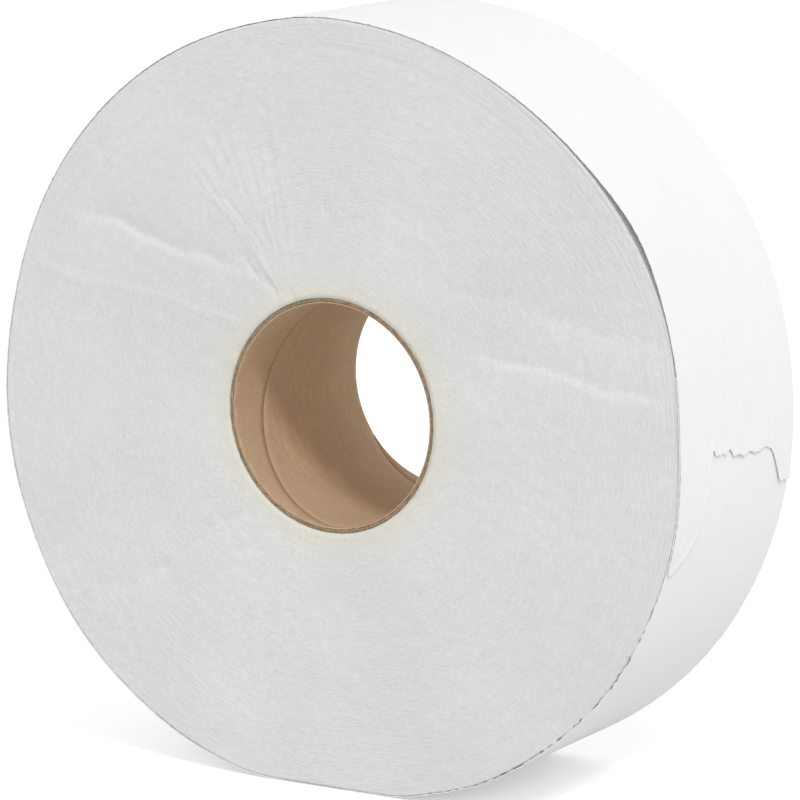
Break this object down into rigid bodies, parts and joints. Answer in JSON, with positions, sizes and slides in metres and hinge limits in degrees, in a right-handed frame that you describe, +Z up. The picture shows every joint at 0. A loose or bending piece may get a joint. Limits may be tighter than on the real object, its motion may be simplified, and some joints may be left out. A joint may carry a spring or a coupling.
{
  "type": "jumbo toilet paper roll",
  "caption": "Jumbo toilet paper roll: white creped tissue wound on a cardboard core, standing on its rim with a small flat spot and a loose tail end.",
  "frame": {"origin": "on the floor under the middle of the roll: halfway across its width and below its axis, in the flat spot of the rim", "axes": "+Y along the roll's axis, from the front face to the back one; +Z up, away from the flat spot; +X across the roll, towards the tail end"},
  "size_m": [0.3, 0.09, 0.295],
  "materials": {
    "tissue": "matte",
    "core_board": "matte"
  },
  "bodies": {
    "root": {"tissue_winding": "tissue", "cardboard_core": "core_board"}
  },
  "joints": []
}
